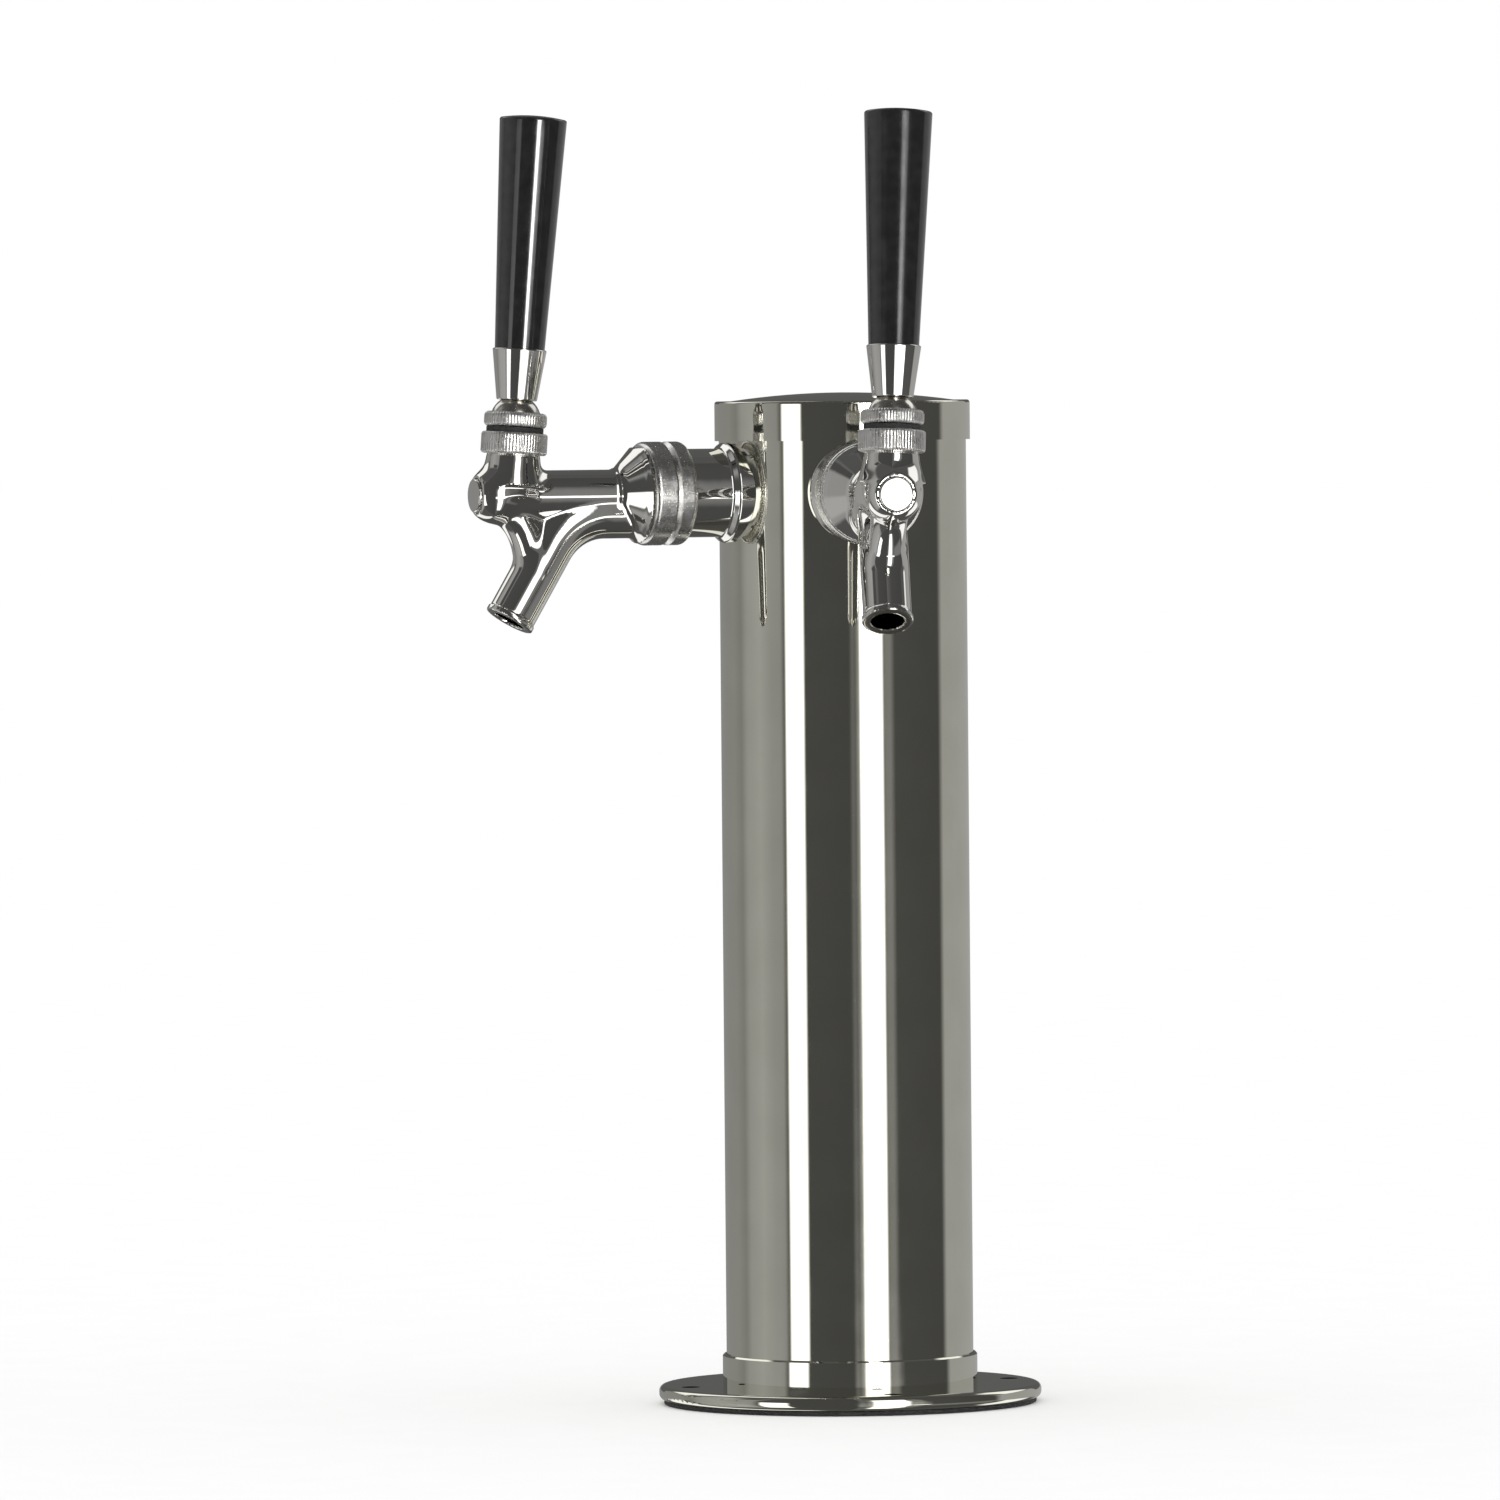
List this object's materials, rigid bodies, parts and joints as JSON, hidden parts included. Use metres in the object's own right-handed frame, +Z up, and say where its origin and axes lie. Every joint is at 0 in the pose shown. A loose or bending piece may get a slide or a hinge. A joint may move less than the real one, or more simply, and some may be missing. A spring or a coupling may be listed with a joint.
{
  "type": "beer tap tower",
  "caption": "Round polished metal column on a bolt-down flange with angled lever taps near its top, each with a tapered black handle, a curved spout and a sliding valve shaft.",
  "frame": {"origin": "centre of the underside of the base gasket, on the column's axis", "axes": "+Z up along the column; -Y is the front, midway between the taps; +X is the right-hand tap's side as seen from the front"},
  "size_m": [0.1574, 0.158, 0.3969],
  "materials": {
    "polished_steel": "polished stainless steel",
    "polished_chrome": "bright chrome plate",
    "plated_brass": "nickel plated brass",
    "steel_fitting": "turned stainless steel",
    "brass": "turned brass",
    "gloss_black": "glossy moulded plastic",
    "black_plastic": "moulded nylon",
    "black_rubber": "moulded rubber",
    "grey_foam": "closed-cell foam lining"
  },
  "bodies": {
    "tower": {"base_gasket": "black_rubber", "base_flange": "polished_steel", "column_tube": "polished_steel", "column_cap": "polished_steel", "cap_o_ring": "black_rubber", "insulation_sleeve": "grey_foam", "left_shank": "plated_brass", "left_shank_sleeve": "polished_chrome", "left_inner_saddle": "black_plastic", "left_lock_nut": "plated_brass", "left_coupling_nut": "polished_chrome", "left_coupling_gasket": "black_rubber", "left_elbow_tail": "steel_fitting", "left_tap_body": "polished_chrome", "left_neck_ring": "polished_chrome", "left_friction_washer": "black_rubber", "left_bonnet": "polished_chrome", "left_ball_washer": "black_plastic", "right_shank": "plated_brass", "right_shank_sleeve": "polished_chrome", "right_inner_saddle": "black_plastic", "right_lock_nut": "plated_brass", "right_coupling_nut": "polished_chrome", "right_coupling_gasket": "black_rubber", "right_elbow_tail": "steel_fitting", "right_tap_body": "polished_chrome", "right_neck_ring": "polished_chrome", "right_friction_washer": "black_rubber", "right_bonnet": "polished_chrome", "right_ball_washer": "black_plastic"},
    "left_lever": {"left_lever": "plated_brass", "left_ferrule": "polished_chrome", "left_handle_insert": "brass", "left_handle": "gloss_black"},
    "left_shaft": {"left_shaft": "polished_chrome", "left_seat_washer": "black_rubber"},
    "right_lever": {"right_lever": "plated_brass", "right_ferrule": "polished_chrome", "right_handle_insert": "brass", "right_handle": "gloss_black"},
    "right_shaft": {"right_shaft": "polished_chrome", "right_seat_washer": "black_rubber"}
  },
  "joints": [
    {"name": "left_lever_tilt", "type": "hinge", "parent": "tower", "child": "left_lever", "pos_m": [-0.06589, -0.08494, 0.3038], "axis": [0.7902, -0.6129, 0], "range_deg": [0, 25]},
    {"name": "left_shaft_slide", "type": "slide", "parent": "tower", "child": "left_shaft", "axis": [0.6129, 0.7902, 0], "range_m": [0, 0.0093]},
    {"name": "right_lever_tilt", "type": "hinge", "parent": "tower", "child": "right_lever", "pos_m": [0.06658, -0.0844, 0.30378], "axis": [0.7896, 0.6125, -0.0384], "range_deg": [0, 25]},
    {"name": "right_shaft_slide", "type": "slide", "parent": "tower", "child": "right_shaft", "axis": [-0.6129, 0.7902, 0], "range_m": [0, 0.0093]}
  ],
  "couplings": [
    {"joint": "left_shaft_slide", "follows": "left_lever_tilt", "m_per_rad": 0.021106},
    {"joint": "right_shaft_slide", "follows": "right_lever_tilt", "m_per_rad": 0.021106}
  ]
}
